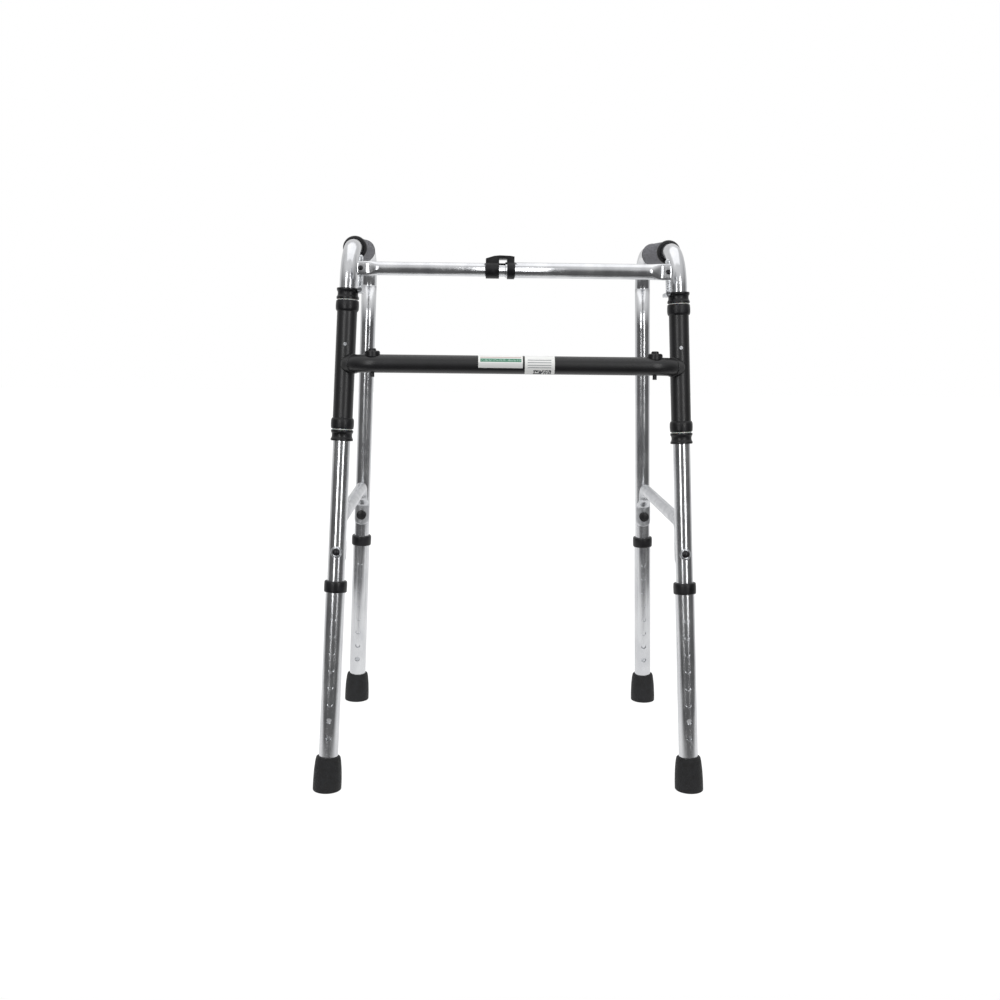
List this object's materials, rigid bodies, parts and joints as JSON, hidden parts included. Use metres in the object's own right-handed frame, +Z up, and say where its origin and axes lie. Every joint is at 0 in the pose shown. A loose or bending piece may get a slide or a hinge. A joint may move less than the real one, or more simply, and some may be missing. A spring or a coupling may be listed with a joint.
{
  "type": "walking frame",
  "caption": "Folding, height-adjustable walking frame: hinged side frames with handgrips, a rigid cross frame, telescopic legs and rubber feet.",
  "frame": {"origin": "centre of the footprint on the floor", "axes": "+X to the right seen from the front, +Y from the front towards the user, +Z up"},
  "size_m": [0.5862, 0.4693, 0.8165],
  "materials": {
    "polished_aluminium": "polished",
    "satin_aluminium": "satin",
    "black_paint": "gloss",
    "black_plastic": "satin",
    "grip_vinyl": "matte, fine texture",
    "foot_rubber": "matte",
    "steel": "zinc plated",
    "dark_steel": "black zinc",
    "label_film": "satin",
    "white_nylon": "satin"
  },
  "bodies": {
    "cross_frame": {"crossbar": "black_paint", "left_hinge_sleeve": "black_paint", "right_hinge_sleeve": "black_paint", "left_sleeve_bushings": "black_plastic", "right_sleeve_bushings": "black_plastic", "left_crossbar_socket": "black_paint", "right_crossbar_socket": "black_paint", "left_swivel_bracket": "black_plastic", "right_swivel_bracket": "black_plastic", "top_bar_inner_tube": "polished_aluminium", "top_bar_outer_tube": "polished_aluminium", "top_bar_rivets": "dark_steel", "left_button_guide": "black_plastic", "right_button_guide": "black_plastic", "left_label": "label_film", "right_label": "label_film", "sleeve_screws": "steel", "thrust_washers": "white_nylon", "left_release_spring": "steel", "right_release_spring": "steel"},
    "left_side": {"left_side_tube": "polished_aluminium", "left_grip": "grip_vinyl", "left_grip_flange": "black_plastic", "left_brace": "satin_aluminium", "left_brace_bolts": "dark_steel", "left_bolt_caps": "black_plastic", "left_stop_collar": "black_plastic", "left_snap_springs": "steel"},
    "left_release_button": {"left_release_button": "black_plastic"},
    "left_lock_pin": {"left_lock_pin": "steel"},
    "left_front_leg": {"left_front_lower_leg": "polished_aluminium", "left_front_leg_collar": "black_plastic", "left_front_foot": "foot_rubber"},
    "left_front_snap_button": {"left_front_snap_button": "steel"},
    "left_rear_leg": {"left_rear_lower_leg": "polished_aluminium", "left_rear_leg_collar": "black_plastic", "left_rear_foot": "foot_rubber"},
    "left_rear_snap_button": {"left_rear_snap_button": "steel"},
    "right_side": {"right_side_tube": "polished_aluminium", "right_grip": "grip_vinyl", "right_grip_flange": "black_plastic", "right_brace": "satin_aluminium", "right_brace_bolts": "dark_steel", "right_bolt_caps": "black_plastic", "right_stop_collar": "black_plastic", "right_snap_springs": "steel"},
    "right_release_button": {"right_release_button": "black_plastic"},
    "right_lock_pin": {"right_lock_pin": "steel"},
    "right_front_leg": {"right_front_lower_leg": "polished_aluminium", "right_front_leg_collar": "black_plastic", "right_front_foot": "foot_rubber"},
    "right_front_snap_button": {"right_front_snap_button": "steel"},
    "right_rear_leg": {"right_rear_lower_leg": "polished_aluminium", "right_rear_leg_collar": "black_plastic", "right_rear_foot": "foot_rubber"},
    "right_rear_snap_button": {"right_rear_snap_button": "steel"},
    "bar_clip": {"bar_clip": "black_plastic"}
  },
  "joints": [
    {"name": "left_fold", "type": "hinge", "parent": "cross_frame", "child": "left_side", "pos_m": [-0.2715, -0.213, 0], "axis": [-0.0401, -0.1018, -0.994], "range_deg": [0, 86]},
    {"name": "left_front_height", "type": "slide", "parent": "left_side", "child": "left_front_leg", "axis": [-0.0401, -0.1018, -0.994], "range_m": [0, 0.1778]},
    {"name": "left_front_snap", "type": "slide", "parent": "left_side", "child": "left_front_snap_button", "axis": [-0.0209, -0.9945, 0.1027], "range_m": [0, 0.003], "stiffness_N_per_m": 300},
    {"name": "left_rear_height", "type": "slide", "parent": "left_side", "child": "left_rear_leg", "axis": [-0.0368, 0.0398, -0.9985], "range_m": [0, 0.1778]},
    {"name": "left_rear_snap", "type": "slide", "parent": "left_side", "child": "left_rear_snap_button", "axis": [-0.0264, -0.9989, -0.0389], "range_m": [0, 0.003], "stiffness_N_per_m": 300},
    {"name": "left_release", "type": "slide", "parent": "cross_frame", "child": "left_release_button", "axis": [0, -0.1019, -0.9948], "range_m": [0, 0.004], "stiffness_N_per_m": 400, "springref_m": -0.004, "deforming": ["left_release_spring"]},
    {"name": "left_lock", "type": "slide", "parent": "cross_frame", "child": "left_lock_pin", "axis": [0.7988, -0.5985, 0.0613], "range_m": [0, 0.005]},
    {"name": "right_fold", "type": "hinge", "parent": "cross_frame", "child": "right_side", "pos_m": [0.2715, -0.213, 0], "axis": [-0.0401, 0.1018, 0.994], "range_deg": [0, 70]},
    {"name": "right_front_height", "type": "slide", "parent": "right_side", "child": "right_front_leg", "axis": [0.0401, -0.1018, -0.994], "range_m": [0, 0.1778]},
    {"name": "right_front_snap", "type": "slide", "parent": "right_side", "child": "right_front_snap_button", "axis": [0.0209, -0.9945, 0.1027], "range_m": [0, 0.003], "stiffness_N_per_m": 300},
    {"name": "right_rear_height", "type": "slide", "parent": "right_side", "child": "right_rear_leg", "axis": [0.0368, 0.0398, -0.9985], "range_m": [0, 0.1778]},
    {"name": "right_rear_snap", "type": "slide", "parent": "right_side", "child": "right_rear_snap_button", "axis": [0.0264, -0.9989, -0.0389], "range_m": [0, 0.003], "stiffness_N_per_m": 300},
    {"name": "right_release", "type": "slide", "parent": "cross_frame", "child": "right_release_button", "axis": [0, -0.1019, -0.9948], "range_m": [0, 0.004], "stiffness_N_per_m": 400, "springref_m": -0.004, "deforming": ["right_release_spring"]},
    {"name": "right_lock", "type": "slide", "parent": "cross_frame", "child": "right_lock_pin", "axis": [-0.7988, -0.5985, 0.0613], "range_m": [0, 0.005]},
    {"name": "clip_turn", "type": "hinge", "parent": "cross_frame", "child": "bar_clip", "pos_m": [0, -0.16066, 0.76595], "axis": [-1, 0, 0], "range_deg": [0, 90]}
  ],
  "couplings": [
    {"joint": "left_lock", "follows": "left_release", "ratio": 1.25},
    {"joint": "right_lock", "follows": "right_release", "ratio": 1.25}
  ]
}
